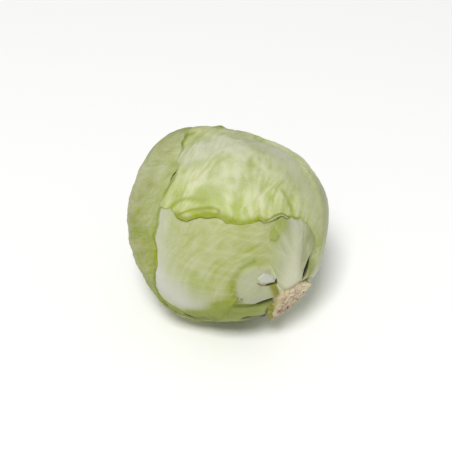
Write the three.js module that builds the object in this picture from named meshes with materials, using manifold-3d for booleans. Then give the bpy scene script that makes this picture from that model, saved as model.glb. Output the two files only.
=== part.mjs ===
import * as THREE from "three";
import { mergeVertices } from "three/addons/utils/BufferGeometryUtils.js";
import Module from "manifold-3d";

// A white cabbage, cut from its root and lying on its side: a firm ball of tightly packed
// leaves, eight wrapper leaves laid over it one on another, and the cut stalk they grow from.
// Millimetres, +Z up. The stalk points along +X and a little down, and z = 0 is the surface
// that the cabbage rests on.

// The head. Its middle stands where the origin comes under the middle of the whole box.
const headRadius = 79;
const headDetail = 7; // subdivisions of the packed head's surface
const restHeight = 77; // of the middle above the surface, which leaves a small flat spot
const middleX = 0;
const middleY = -0.2;

// The leaves. A midrib stands proud of its leaf's blade, most at the base.
const bladeThickness = 1.8;
const ribHeight = 2.6;
const ribHalfWidth = 12;
const ribTaper = 1.2; // above 1, the rib loses most of its height in its first half
const leafGap = 1.2; // clear air between two leaves that lie on each other
const coverBeyond = 8; // a leaf above stays lifted this far past the edge of the one below
const coverSlope = 28; // and comes down over this distance
const pressedRoom = 1.4; // share of that room that the leaves keep where the surface flattens them
const settleWidth = 25; // how far a leaf's edge is felt, each way, in the packed head under it
const baseAngle = 17; // degrees from the stalk's axis at which the leaves begin
const cellSize = 12.5; // about the size of a cell of a leaf's grid
const edgeSteps = 24; // straight steps that each edge of a leaf is drawn in

// The stalk, a cone frustum whose tip would be at the head's middle.
const stalkDip = 23; // degrees that it points below level
const cutDistance = 82.5; // from the head's middle to the cut
const stalkRoot = 58; // and to the stalk's inner end
const stalkAngle = 14.8; // its half angle in degrees
const stalkLobe = 0.7; // degrees that it swells towards each leaf's base
const stalkLobeWidth = 16; // degrees round it
const stalkClearance = 0.5;
const stalkSides = 40;

const leafRoughness = 0.45;
const stalkRoughness = 0.8;

const radians = THREE.MathUtils.degToRad;

// The stalk's own axes: along it, and two across it, where "round" is measured from the upper
// one towards -Y.
const alongStalk = new THREE.Vector3(Math.cos(radians(stalkDip)), 0, -Math.sin(radians(stalkDip)));
const aboveStalk = new THREE.Vector3(Math.sin(radians(stalkDip)), 0, Math.cos(radians(stalkDip)));
const besideStalk = new THREE.Vector3().crossVectors(alongStalk, aboveStalk);

// A direction from the head's middle, in degrees from the stalk and degrees round it.
function towards(fromStalk, round) {
  const across = Math.sin(radians(fromStalk));
  return new THREE.Vector3()
    .addScaledVector(alongStalk, Math.cos(radians(fromStalk)))
    .addScaledVector(aboveStalk, across * Math.cos(radians(round)))
    .addScaledVector(besideStalk, across * Math.sin(radians(round)));
}

// Broad swells and hollows of the head. Each is a bump of a height in millimetres and a width in
// degrees, at so many degrees from the stalk and so many round it.
const headSwells = [
  { at: [0, 0], rise: -7, width: 30 },
  { at: [70, -62], rise: 4, width: 22 },
  { at: [112, -36], rise: -5.5, width: 24 },
  { at: [160, 5], rise: 7, width: 25 },
  { at: [74, 128], rise: 3, width: 16 },
  { at: [108, 122], rise: -2, width: 18 },
  { at: [58, 108], rise: -2.5, width: 16 },
];

// The wrapper leaves, from the innermost to the outermost, with every point in degrees from the
// stalk and degrees round it. A leaf's base goes round the stalk between two such angles, its
// right and left edges run from there outwards, and its tip goes from the end of the right edge
// to the end of the left one. A swell is as on the head, but thickens this leaf alone, and a lift
// raises the leaf off the one below.
const leaves = [
  {
    name: "crown_leaf",
    colour: 0xbcc79a,
    middle: [100, -45],
    base: [-60, -20],
    right: [[45, -80], [80, -90], [115, -98], [148, -110]],
    tip: [[166, -150], [166, 120]],
    left: [[40, 10], [75, 22], [110, 32], [145, 60]],
    midrib: [[baseAngle, -40], [60, -42], [110, -46], [150, -50]],
  },
  {
    name: "lower_leaf",
    colour: 0x98a45f,
    middle: [62, 135],
    base: [82, 130],
    right: [[34, 70], [52, 74], [72, 82], [92, 95]],
    tip: [[106, 118], [108, 150]],
    left: [[28, 168], [46, 188], [72, 192], [95, 180]],
    midrib: [[baseAngle, 106], [40, 125], [70, 140], [95, 145]],
  },
  {
    name: "front_leaf",
    colour: 0xb7bc95,
    middle: [72, 62],
    base: [44, 78],
    right: [[30, 22], [50, 2], [72, -6], [92, 4]],
    tip: [[110, 22], [122, 50], [122, 82]],
    left: [[30, 86], [44, 88], [56, 96], [70, 108], [90, 116], [110, 106]],
    midrib: [[baseAngle, 61], [34, 60], [55, 62], [85, 64]],
    swells: [{ at: [33, 62], rise: 3.4, width: 12 }],
  },
  {
    name: "under_leaf",
    colour: 0xaab57f,
    middle: [82, -153],
    base: [-170, -132],
    right: [[38, -188], [65, -195], [98, -198], [128, -195]],
    tip: [[150, -172], [152, -135]],
    left: [[38, -116], [65, -108], [98, -106], [126, -112]],
    midrib: [[baseAngle, -151], [50, -152], [90, -153], [130, -155]],
  },
  {
    name: "rib_leaf",
    colour: 0xb0b58c,
    middle: [50, -12],
    base: [-34, 40],
    right: [[26, -60], [42, -74], [60, -76], [76, -66]],
    tip: [[84, -44], [80, -24], [68, -6], [59, 6]],
    left: [[25, 44], [33, 39], [40, 33], [47, 26], [53, 20]],
    midrib: [[baseAngle, 26], [26, 16], [37, 4], [49, -8], [64, -18], [76, -24]],
    swells: [{ at: [27, 14], rise: 1.6, width: 11 }],
  },
  {
    name: "back_leaf",
    colour: 0xb2bd86,
    middle: [82, -97],
    base: [-116, -78],
    right: [[32, -134], [54, -146], [84, -152], [112, -150]],
    tip: [[138, -136], [148, -96], [138, -56]],
    left: [[34, -70], [58, -58], [88, -48], [114, -46]],
    midrib: [[baseAngle, -97], [50, -98], [90, -98], [130, -100]],
  },
  {
    name: "left_leaf",
    colour: 0xa3a96f,
    middle: [98, 138],
    base: [164, 196],
    right: [
      [34, 172], [52, 160], [64, 142], [72, 126], [80, 113],
      [87, 100], [91, 86], [98, 73], [106, 61], [114, 45],
    ],
    tip: [[126, 20], [142, -6], [160, -44], [168, -130], [154, -156]],
    left: [[46, 200], [74, 204], [104, 206], [134, 204]],
    midrib: [[baseAngle, 180], [50, 178], [90, 165], [140, 130]],
  },
  {
    name: "cap_leaf",
    colour: 0xc3cb9f,
    middle: [85, -20],
    base: [-66, -28],
    right: [[34, -76], [54, -84], [80, -82], [104, -72]],
    tip: [[122, -56], [138, -30], [145, -8], [136, 14], [128, 22], [121, 30], [118, 44]],
    left: [
      [27, -36], [36, -39], [44, -35], [50, -23], [53, -10], [57, 1],
      [64, 15], [70, 28], [76, 35], [86, 42], [97, 51], [110, 56],
    ],
    midrib: [[baseAngle, -47], [40, -50], [80, -44], [120, -32]],
    lifts: [{ at: [28, -38], rise: 1.6, width: 13 }],
  },
];

function swellHeight(swells, direction) {
  let height = 0;
  for (const swell of swells) {
    const angle = THREE.MathUtils.radToDeg(direction.angleTo(towards(...swell.at)));
    height += swell.rise * Math.exp(-((angle / swell.width) ** 2));
  }
  return height;
}

// Each leaf is laid out on a flat chart: millimetres along the head's surface from the leaf's
// middle, x away from the stalk and y across.
function chartOf(leaf) {
  const middle = towards(...leaf.middle);
  const away = middle.clone().multiplyScalar(alongStalk.dot(middle)).sub(alongStalk).normalize();
  const across = new THREE.Vector3().crossVectors(middle, away);
  return { middle, away, across };
}

function toChart(chart, direction) {
  const arc = direction.angleTo(chart.middle) * headRadius;
  const spot = new THREE.Vector3(direction.dot(chart.away), direction.dot(chart.across), 0);
  return spot.setLength(arc);
}

function fromChart(chart, spot) {
  const arc = spot.length();
  const angle = arc / headRadius;
  const sideways = arc > 0 ? Math.sin(angle) / arc : 0;
  return chart.middle
    .clone()
    .multiplyScalar(Math.cos(angle))
    .addScaledVector(chart.away, spot.x * sideways)
    .addScaledVector(chart.across, spot.y * sideways);
}

function lineOnChart(chart, points) {
  const spots = points.map((point) => toChart(chart, towards(...point)));
  return new THREE.CatmullRomCurve3(spots, false, "centripetal");
}

// The nearest point of a line, a list of spots, and the share of the line that leads to it.
function nearestOn(line, spot) {
  let nearest = { distance: Infinity, share: 0 };
  for (let i = 0; i + 1 < line.length; i++) {
    const step = line[i + 1].clone().sub(line[i]);
    const offset = spot.clone().sub(line[i]);
    const part = THREE.MathUtils.clamp(offset.dot(step) / step.lengthSq(), 0, 1);
    const distance = offset.addScaledVector(step, -part).length();
    if (distance < nearest.distance) nearest = { distance, share: (i + part) / (line.length - 1) };
  }
  return nearest;
}

function isInside(spot, outline) {
  let inside = false;
  for (let i = 0; i + 1 < outline.length; i++) {
    const a = outline[i];
    const b = outline[i + 1];
    const crosses = a.y > spot.y !== b.y > spot.y;
    if (crosses && spot.x < a.x + ((b.x - a.x) * (spot.y - a.y)) / (b.y - a.y)) inside = !inside;
  }
  return inside;
}

for (const leaf of leaves) {
  leaf.chart = chartOf(leaf);
  const { chart, base, right, tip, left, midrib } = leaf;
  const baseLine = [0, 0.25, 0.5, 0.75, 1].map((part) => [
    baseAngle,
    THREE.MathUtils.lerp(...base, part),
  ]);
  leaf.edges = {
    base: lineOnChart(chart, baseLine),
    right: lineOnChart(chart, [baseLine[0], ...right]),
    left: lineOnChart(chart, [baseLine.at(-1), ...left]),
    tip: lineOnChart(chart, [right.at(-1), ...tip, left.at(-1)]),
  };
  leaf.outline = [
    ...leaf.edges.right.getSpacedPoints(edgeSteps),
    ...leaf.edges.tip.getSpacedPoints(edgeSteps).slice(1),
    ...leaf.edges.left.getSpacedPoints(edgeSteps).reverse().slice(1),
    ...leaf.edges.base.getSpacedPoints(edgeSteps).reverse().slice(1),
  ];
  leaf.ribLine = lineOnChart(chart, midrib).getSpacedPoints(edgeSteps);
}

// Thickness of a leaf, with its midrib and its own swells.
function thicknessOf(leaf, direction) {
  const rib = nearestOn(leaf.ribLine, toChart(leaf.chart, direction));
  const ribShare = (1 - rib.share) ** ribTaper * Math.exp(-((rib.distance / ribHalfWidth) ** 2));
  return bladeThickness + ribHeight * ribShare + swellHeight(leaf.swells ?? [], direction);
}

// Distance outside a leaf's outline, in millimetres, and less than nothing inside it.
function outsideOf(leaf, direction) {
  const spot = toChart(leaf.chart, direction);
  const { distance } = nearestOn(leaf.outline, spot);
  return isInside(spot, leaf.outline) ? -distance : distance;
}

// The room that a leaf takes from the ones over it, and how far the packed head gives way to it.
function layerOf(leaf, direction) {
  const outside = outsideOf(leaf, direction);
  const thickness = thicknessOf(leaf, direction);
  const lift = swellHeight(leaf.lifts ?? [], direction);
  const cover = 1 - THREE.MathUtils.smoothstep(outside, coverBeyond, coverBeyond + coverSlope);
  const settled = 1 - THREE.MathUtils.smoothstep(outside, -settleWidth, settleWidth);
  return {
    thickness,
    lift,
    raised: (lift + thickness + leafGap) * cover,
    settled: (bladeThickness + leafGap) * settled,
  };
}

// Radii of the packed head and of each leaf's two faces in one direction. Where they would
// reach below the resting surface they lie flat, one above another.
function radiiAt(direction) {
  const layers = leaves.map((leaf) => layerOf(leaf, direction));
  const limit = (room) => (direction.z < 0 ? (restHeight - room) / -direction.z : Infinity);
  let roomOutside = layers.reduce((sum, layer) => sum + layer.raised, 0);
  let radius = headRadius + swellHeight(headSwells, direction);
  radius -= layers.reduce((sum, layer) => sum + layer.settled, 0);
  const packed = Math.min(radius, limit(roomOutside * pressedRoom));
  radius += leafGap;
  const faces = layers.map(({ thickness, lift, raised }) => {
    roomOutside -= raised;
    const pressed = roomOutside * pressedRoom;
    const inner = Math.min(radius + lift, limit(pressed + thickness));
    const outer = Math.min(radius + lift + thickness, limit(pressed));
    radius += raised;
    return { inner, outer };
  });
  return { packed, faces };
}

// A spot of a leaf, "across" from its right edge to its left one and "along" from base to tip,
// both from 0 to 1: the four edges are blended into one smooth sheet between them.
function spotOnLeaf({ right, left, base, tip }, across, along) {
  const spot = new THREE.Vector3()
    .addScaledVector(right.getPointAt(along), 1 - across)
    .addScaledVector(left.getPointAt(along), across)
    .addScaledVector(base.getPointAt(across), 1 - along)
    .addScaledVector(tip.getPointAt(across), along);
  return spot
    .addScaledVector(base.getPointAt(0), -(1 - across) * (1 - along))
    .addScaledVector(base.getPointAt(1), -across * (1 - along))
    .addScaledVector(tip.getPointAt(0), -(1 - across) * along)
    .addScaledVector(tip.getPointAt(1), -across * along);
}

// A leaf is a closed slab between its two faces.
function leafGeometry(index) {
  const { chart, edges } = leaves[index];
  const length = Math.max(edges.right.getLength(), edges.left.getLength());
  const middleWidth = edges.right.getPointAt(0.5).distanceTo(edges.left.getPointAt(0.5));
  const width = Math.max(middleWidth, edges.tip.getLength());
  const cellsAlong = Math.round(length / cellSize);
  const cellsAcross = Math.round(width / cellSize);
  const inner = [];
  const outer = [];
  for (let row = 0; row <= cellsAcross; row++) {
    for (let column = 0; column <= cellsAlong; column++) {
      const spot = spotOnLeaf(edges, row / cellsAcross, column / cellsAlong);
      const direction = fromChart(chart, spot);
      const face = radiiAt(direction).faces[index];
      inner.push(...direction.clone().multiplyScalar(face.inner));
      outer.push(...direction.clone().multiplyScalar(face.outer));
    }
  }
  const side = cellsAlong + 1;
  const faceSize = side * (cellsAcross + 1);
  const triangles = [];
  for (let row = 0; row < cellsAcross; row++) {
    for (let column = 0; column < cellsAlong; column++) {
      const a = row * side + column;
      const [b, c, d] = [a + 1, a + side + 1, a + side];
      const rising = (2 * row < cellsAcross) === (2 * column < cellsAlong);
      const halves = rising ? [[a, b, c], [a, c, d]] : [[a, b, d], [b, c, d]];
      for (const [p, q, r] of halves) {
        triangles.push(faceSize + p, faceSize + q, faceSize + r);
        triangles.push(p, r, q);
      }
    }
  }
  const rim = [];
  for (let i = 0; i < cellsAlong; i++) rim.push(i);
  for (let i = 0; i < cellsAcross; i++) rim.push(i * side + cellsAlong);
  for (let i = cellsAlong; i > 0; i--) rim.push(cellsAcross * side + i);
  for (let i = cellsAcross; i > 0; i--) rim.push(i * side);
  rim.forEach((a, i) => {
    const b = rim[(i + 1) % rim.length];
    triangles.push(a, b, faceSize + b, a, faceSize + b, faceSize + a);
  });
  const geometry = new THREE.BufferGeometry();
  geometry.setAttribute("position", new THREE.Float32BufferAttribute([...inner, ...outer], 3));
  geometry.setIndex(triangles);
  return geometry;
}

// The stalk between two distances from the head's middle, swollen a little towards each leaf's
// base. It starts as a plain cylinder about Y.
function stalkGeometry(from, to, clearance) {
  const geometry = new THREE.CylinderGeometry(to, from, to - from, stalkSides);
  geometry.deleteAttribute("normal");
  geometry.deleteAttribute("uv");
  const turn = new THREE.Matrix4().makeBasis(aboveStalk, alongStalk, besideStalk.clone().negate());
  const spots = geometry.getAttribute("position");
  const spot = new THREE.Vector3();
  for (let i = 0; i < spots.count; i++) {
    spot.fromBufferAttribute(spots, i);
    const round = THREE.MathUtils.radToDeg(Math.atan2(-spot.z, spot.x));
    let lobe = 0;
    for (const leaf of leaves) {
      const apart = THREE.MathUtils.euclideanModulo(round - leaf.midrib[0][1] + 180, 360) - 180;
      lobe = Math.max(lobe, stalkLobe * Math.exp(-((apart / stalkLobeWidth) ** 2)));
    }
    const slope = Math.tan(radians(stalkAngle + lobe));
    const distance = spot.y + (from + to) / 2;
    const length = Math.hypot(spot.x, spot.z);
    const radius = length > 0 ? (distance * slope + clearance) / length : 0;
    spot.set(spot.x * radius, distance, spot.z * radius).applyMatrix4(turn);
    spots.setXYZ(i, spot.x, spot.y, spot.z);
  }
  return mergeVertices(geometry);
}

function packedHeadGeometry() {
  const ball = new THREE.IcosahedronGeometry(1, headDetail);
  ball.deleteAttribute("normal");
  ball.deleteAttribute("uv");
  const geometry = mergeVertices(ball);
  const spots = geometry.getAttribute("position");
  const direction = new THREE.Vector3();
  for (let i = 0; i < spots.count; i++) {
    direction.fromBufferAttribute(spots, i).normalize();
    direction.multiplyScalar(radiiAt(direction).packed);
    spots.setXYZ(i, direction.x, direction.y, direction.z);
  }
  return geometry;
}

const wasm = await Module();
wasm.setup();

function solidOf(geometry) {
  const vertProperties = new Float32Array(geometry.getAttribute("position").array);
  const triVerts = new Uint32Array(geometry.index.array);
  return new wasm.Manifold(new wasm.Mesh({ numProp: 3, vertProperties, triVerts }));
}

function geometryOf(solid) {
  const mesh = solid.getMesh();
  const geometry = new THREE.BufferGeometry();
  geometry.setAttribute("position", new THREE.BufferAttribute(mesh.vertProperties, 3));
  geometry.setIndex(new THREE.BufferAttribute(mesh.triVerts, 1));
  return geometry;
}

const head = new THREE.Group();
head.position.set(middleX, middleY, restHeight);

function addPiece(name, geometry, colour, roughness) {
  const material = new THREE.MeshStandardMaterial({ color: colour, roughness, metalness: 0 });
  const piece = new THREE.Mesh(geometry, material);
  piece.name = name;
  head.add(piece);
}

// The stalk sits in a hollow of the packed head.
const hollow = stalkGeometry(stalkRoot - stalkClearance, 1.2 * headRadius, stalkClearance);
const packedHead = solidOf(packedHeadGeometry()).subtract(solidOf(hollow));
addPiece("packed_head", geometryOf(packedHead), 0xc9d2a6, leafRoughness);
addPiece("cut_stalk", stalkGeometry(stalkRoot, cutDistance, 0), 0xc3b093, stalkRoughness);
leaves.forEach((leaf, index) => {
  addPiece(leaf.name, leafGeometry(index), leaf.colour, leafRoughness);
});

const cabbage = new THREE.Group();
cabbage.add(head);

export default cabbage;
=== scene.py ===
import math
import random

import bpy
import numpy as np
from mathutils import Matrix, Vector, kdtree, noise


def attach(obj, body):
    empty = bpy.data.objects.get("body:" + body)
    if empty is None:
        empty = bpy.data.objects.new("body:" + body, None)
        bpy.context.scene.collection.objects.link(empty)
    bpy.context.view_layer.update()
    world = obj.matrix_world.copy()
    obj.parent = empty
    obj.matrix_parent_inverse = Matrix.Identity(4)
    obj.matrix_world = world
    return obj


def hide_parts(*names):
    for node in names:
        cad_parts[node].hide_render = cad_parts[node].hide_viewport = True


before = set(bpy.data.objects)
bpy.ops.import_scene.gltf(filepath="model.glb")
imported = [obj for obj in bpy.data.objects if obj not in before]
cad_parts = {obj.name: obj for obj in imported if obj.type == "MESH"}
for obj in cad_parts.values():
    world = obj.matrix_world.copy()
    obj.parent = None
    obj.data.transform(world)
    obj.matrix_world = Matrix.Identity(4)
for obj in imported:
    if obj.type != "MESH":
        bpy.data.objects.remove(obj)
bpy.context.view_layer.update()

print("frame loaded:", ", ".join(sorted(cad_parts)))

# A white cabbage lying on its side with its cut stalk at the front. Its sizes are millimetres,
# turned to metres when a mesh gets its points; materials and the studio have theirs in metres.
metres = 0.001

# A spot on the cabbage is given in degrees from the stalk's axis and degrees round it.
stalkAxis = {"dip": 23}

dip = math.radians(stalkAxis["dip"])
alongStalk = np.array([math.cos(dip), 0, -math.sin(dip)])
aboveStalk = np.array([math.sin(dip), 0, math.cos(dip)])
besideStalk = np.cross(alongStalk, aboveStalk)


def towards(fromStalk, around):
    fromStalk, around = np.radians(fromStalk), np.radians(around)
    upper = np.multiply.outer(np.sin(fromStalk) * np.cos(around), aboveStalk)
    side = np.multiply.outer(np.sin(fromStalk) * np.sin(around), besideStalk)
    return np.multiply.outer(np.cos(fromStalk), alongStalk) + upper + side


def smooth(value, low, high):
    part = np.clip((value - low) / (high - low), 0, 1)
    return part * part * (3 - 2 * part)


def fadeInwards(inside, width):
    # 1 at the edge of a leaf, less further in
    return np.exp(-np.maximum(inside, 0) / width)


def degreesFrom(axis, directions):
    return np.degrees(np.arccos(np.clip(directions @ axis, -1, 1)))


def swellAt(swells, directions):
    height = np.zeros(len(directions))
    for at, rise, width in swells:
        height += rise * np.exp(-((degreesFrom(towards(*at), directions) / width) ** 2))
    return height


noiseShift = (7.3, 3.1, 5.7)  # moves each seed to noise of its own


def noiseAt(spots, size, seed):
    # smooth noise between about -0.5 and 0.5; the size may differ from one direction to another
    shift = np.array([seed * part for part in noiseShift])
    return np.array([noise.noise(spot) for spot in spots / size + shift])


# The whole head: a ball with broad swells, and how its leaves lie on each other. A swell is a spot,
# its rise and its width in degrees.
head = {
    "middle": (0, -0.2, 77),
    "radius": 79.6,
    "swells": [
        ((0, 0), -5, 30),
        ((70, -62), 4, 22),
        ((112, -36), -5.5, 24),
        ((160, 5), 7, 25),
        ((74, 128), 3, 16),
        ((80, 113), 1.4, 7),
        ((108, 122), -2, 18),
        ((58, 108), -2.5, 16),
        ((46, 125), -2.2, 13),
    ],
    "ripple": 0.9,
    "rippleSize": 34,
    "blade": 0.8,  # a leaf's thickness away from its midrib
    "edgeBlade": 0.35,  # the share of it that is left at the edge
    "edgeWidth": 4,
    "gap": 0.06,
    "pressed": 0.22,  # how deep an edge lies in the leaf under it
    "pressedWidth": 2,
    "hiddenDepth": 0.1,  # how far a leaf keeps below those that hide it
    "baseThickness": 1.6,  # what the blade gains towards the stalk
    "baseFade": 14,
    "coverBeyond": 1.5,  # where a leaf over another starts to come down past its edge
    "coverSlope": 9,
    "settleWidth": 9,
    "pressedRoom": 1.3,  # what the leaves under the head take where it rests, in their thickness
    "restRoom": 0.15,  # between the surface and the outermost leaf, and between one and the next
    "baseAngle": 15,  # where the leaves leave the stalk
    "loose": (25, 45),  # from here to here the edges grow free of the stalk
    "collar": 78,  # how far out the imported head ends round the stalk
    "collarFrom": 16,
    "collarTo": 29,
}
headMiddle = np.array(head["middle"], float)
restHeight = head["middle"][2]


def chartAt(middle):
    middle = towards(*middle)
    away = (alongStalk @ middle) * middle - alongStalk
    away /= np.linalg.norm(away)
    return {"middle": middle, "away": away, "across": np.cross(middle, away)}


def toChart(chart, directions):
    angle = np.arccos(np.clip(directions @ chart["middle"], -1, 1))
    flat = np.stack([directions @ chart["away"], directions @ chart["across"]], -1)
    length = np.linalg.norm(flat, axis=-1, keepdims=True)
    return flat / np.maximum(length, 1e-9) * angle[..., None] * head["radius"]


def fromChart(chart, spots):
    arc = np.linalg.norm(spots, axis=-1, keepdims=True)
    angle = arc / head["radius"]
    sideways = np.sin(angle) / np.maximum(arc, 1e-9)
    flat = spots[..., :1] * chart["away"] + spots[..., 1:] * chart["across"]
    return np.cos(angle) * chart["middle"] + flat * sideways


def curveThrough(points, steps):
    # a centripetal curve through the points, cut into even steps
    points = np.asarray(points, float)
    ends = [2 * points[0] - points[1], *points, 2 * points[-1] - points[-2]]
    part = np.linspace(0, 1, 20, endpoint=False)[:, None]
    pieces = []
    for before, start, end, after in zip(ends, ends[1:], ends[2:], ends[3:]):
        a, b, c = (math.sqrt(math.dist(*pair)) for pair in ((before, start), (start, end), (end, after)))
        leave = ((start - before) / a - (end - before) / (a + b) + (end - start) / b) * b
        arrive = ((end - start) / b - (after - start) / (b + c) + (after - end) / c) * b
        square = 3 * (end - start) - 2 * leave - arrive
        cube = leave + arrive - 2 * (end - start)
        pieces.append(start + part * (leave + part * (square + part * cube)))
    line = np.vstack([*pieces, points[-1:]])
    reach = np.concatenate([[0], np.cumsum(np.linalg.norm(np.diff(line, axis=0), axis=1))])
    even = np.linspace(0, reach[-1], steps + 1)
    return np.stack([np.interp(even, reach, line[:, axis]) for axis in (0, 1)], -1)


def nearLine(line, spots):
    # how far each spot is from a line, the share of the line that leads to the nearest point,
    # and the side of the line it is on
    distance, share, side = np.full(len(spots), 1e9), np.zeros(len(spots)), np.ones(len(spots))
    for i in range(len(line) - 1):
        step = line[i + 1] - line[i]
        part = np.clip((spots - line[i]) @ step / max(step @ step, 1e-12), 0, 1)
        away = spots - line[i]
        gap = np.hypot(*(away - part[:, None] * step).T)
        nearer = gap < distance
        distance[nearer] = gap[nearer]
        share[nearer] = (i + part[nearer]) / (len(line) - 1)
        side[nearer] = np.sign(step[0] * away[nearer, 1] - step[1] * away[nearer, 0])
    return distance, share, side


def insideOf(outline, spots):
    inside = np.zeros(len(spots), bool)
    x, y = spots[:, 0], spots[:, 1]
    for (ax, ay), (bx, by) in zip(outline, np.roll(outline, -1, 0)):
        if ay != by:
            inside ^= ((ay > y) != (by > y)) & (x < ax + (bx - ax) * (y - ay) / (by - ay))
    return inside


# The leaves, from the innermost to the outermost. Each is drawn on a flat chart round its middle:
# the base runs round the stalk between two angles, the right and left edges run from its ends
# outwards, and the tip joins them. Crowd makes the mesh finer towards the left edge (or the right
# one, if below zero) and towards the base. Rib, veins and relief hold what differs from a plain
# leaf's. A mark is a width, a line (or a patch's outline) and what it does there: its rise, its
# tints, which take a tint away if below zero, and calm, which takes the leaf's own streaks away.
plainLeaf = {
    "slot": "outer_leaf", "crowd": (0, 0), "pressed": head["pressed"], "collar": 82.5,
    "rib": {}, "veins": {}, "relief": {}, "marks": [],
}
crownLeaf = {
    **plainLeaf,
    "name": "crownLeaf", "node": "crown_leaf", "slot": "inner_leaf", "cells": (130, 110),
    "middle": (100, -45), "base": (-60, -20),
    "right": [(45, -80), (80, -90), (115, -98), (148, -110)],
    "tip": [(166, -150), (166, 120)],
    "left": [(40, 10), (75, 22), (110, 32), (145, 60)],
    "midrib": [(16, -40), (60, -42), (110, -46), (150, -50)],
    "rib": {"height": 3}, "collar": 82,
    "green": "#9dac62", "pale": "#c0c696",
}
lowerLeaf = {
    **plainLeaf,
    "name": "lowerLeaf", "node": "lower_leaf", "cells": (130, 120),
    "middle": (62, 135), "base": (58, 132),
    "right": [(22, 52), (30, 54), (38, 60), (52, 70), (72, 80), (92, 95)],
    "tip": [(106, 118), (108, 150)],
    "left": [(28, 168), (46, 188), (72, 192), (95, 180)],
    "midrib": [(16, 100), (40, 118), (70, 135), (95, 145)],
    "rib": {"height": 2.2, "width": 10, "tipWidth": 2.5}, "collar": 80,
    "veins": {"angle": (40, 40)},
    # darker than the other leaves: partly its own deeper green, partly painted shade on its lower side
    "green": "#5f7208", "pale": "#828a2c", "vein": "#98a25a",
    "marks": [
        # painted shade in gaps beside the stalk, with brown in the first, and a paler place between them
        (2, [(19.5, 60), (22.9, 68.8), (25, 74)], {"brown": 0.8, "dark": 1.2, "rise": -2}),
        (1, [(25.7, 75.7), (28.7, 79.3), (33, 81.5), (38, 82)], {"dark": 0.4, "deep": 0.5, "rise": -0.5}),
        (3.6, [(17, 142), (21, 131), (24.2, 122), (29, 112)], {"dark": 1.1, "rise": -2.4}),
        (4, [(22, 84), (30, 90), (38, 90), (43, 94)], {"pale": 0.4, "vein": 0.4}),
        # deeper green with painted shade along the lower edge
        (10, [(26, 106), (36, 108), (46, 116)], {"deep": 0.8, "dark": 0.15}),
    ],
}
frontLeaf = {
    **plainLeaf,
    "name": "frontLeaf", "node": "front_leaf", "slot": "inner_leaf", "cells": (220, 180),
    "middle": (72, 62), "base": (22, 50), "crowd": (0.2, 0.5),
    "right": [(24, 14), (32, 8), (50, 0), (72, -6), (92, 4)],
    "tip": [(110, 22), (122, 50), (122, 82)],
    "left": [
        (20, 51), (23.4, 56), (26, 62.5), (28, 69), (30.5, 74.5), (36, 77.5), (40, 81), (40.5, 91),
        (40, 106), (45, 122), (57, 133), (74, 133), (92, 124), (110, 110),
    ],
    "midrib": [(16, 36), (28, 28), (45, 12), (60, 2), (80, -2)],
    "rib": {"height": 1, "tipWidth": 3}, "collar": 82.4,
    "veins": {
        "angle": (100, 84), "spacing": 10, "bend": 0.003, "streakAngle": (118, 92), "streakBend": -0.007,
    },
    "relief": {"streak": 0.35, "streakSize": (4.5, 30), "tone": 0.6, "strokes": 0.28},
    "green": "#9ba45a", "pale": "#afb186",
    "marks": [
        # the bulge beside the stalk with a hollow round it, and a waxy scar, cracks and slits on it
        (1.5, [(45.7, 37.9), (48.4, 43), (49.9, 50.2), (47.2, 60.1), (41, 69.5), (36.5, 72.5), (30, 72),
               (25, 61), (22, 53), (23, 42), (30, 34), (38, 34)],
         {"patch": True, "rise": 1.9, "chalk": 0.35, "dark": 0.14, "calm": 0.5}),
        (10, [(38, 50), (36, 60), (30, 54)], {"rise": 2.2}),
        # painted shade in the hollow round the bulge
        (3, [(49.4, 37), (50.8, 43.5), (51.4, 50.8), (48.6, 61), (42.5, 71)],
         {"rise": -0.6, "deep": 0.6, "dark": 0.1}),
        (0.6, [(41.4, 43.9), (40.7, 37.5), (35.5, 32.9), (30.8, 31.2), (29.5, 34), (34, 40.9),
               (38, 44.8)],
         {"patch": True, "rise": 0.9, "chalk": 1}),
        # cracks and slits, brown, with painted shade in them
        (0.45, [(39.2, 47), (36.8, 46.8), (35, 45.5), (32.5, 42.8)],
         {"rise": -0.7, "brown": 0.7, "dark": 0.4}),
        (0.7, [(33.5, 44), (31.5, 41.2), (30, 38), (28.6, 34.5)], {"rise": -1.2, "brown": 1, "dark": 1}),
        (0.8, [(29.2, 33), (28, 34.5), (26.8, 36)], {"rise": -2, "brown": 1, "dark": 1.1}),
        # the green neck by the stalk, and wax and greener places further out
        (3, [(31, 38.5), (29.3, 40.4), (27, 42), (24.9, 43.7), (22, 47)],
         {"chalk": -0.5, "deep": 1.3, "vein": -0.9, "brown": 0.3}),
        (4, [(22, 45), (20, 51), (22, 58)], {"deep": 0.4, "brown": 0.3}),
        (16, [(110, 60), (98, 76), (84, 96), (72, 102)], {"chalk": 0.62, "pale": 0.2, "calm": 0.6}),
        (15, [(86, 92), (72, 90), (64, 96), (58, 96)], {"chalk": 0.5, "pale": 0.2, "calm": 0.5}),
        (9, [(64, 34), (52, 30), (46, 29)], {"deep": 0.3}),
        (9, [(46, 78), (48, 66), (56, 60)], {"deep": 0.3}),
        (5.5, [(53, 95), (49, 88), (44, 83)], {"deep": 0.85}),
        (11, [(60, 118), (52, 109), (44, 98), (42, 88)], {"deep": 1.5, "chalk": -0.55, "dark": 0.13}),
        (6, [(62, 127), (54, 122), (46, 118)], {"dark": 0.35}),
    ],
}
underLeaf = {
    **plainLeaf,
    "name": "underLeaf", "node": "under_leaf", "cells": (140, 110),
    "middle": (82, -153), "base": (-170, -132),
    "right": [(38, -188), (65, -195), (98, -198), (128, -195)],
    "tip": [(150, -172), (152, -135)],
    "left": [(38, -116), (65, -108), (98, -106), (126, -112)],
    "midrib": [(16, -151), (50, -152), (90, -153), (130, -155)],
    "green": "#97a75c", "pale": "#b9c08e",
}
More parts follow.
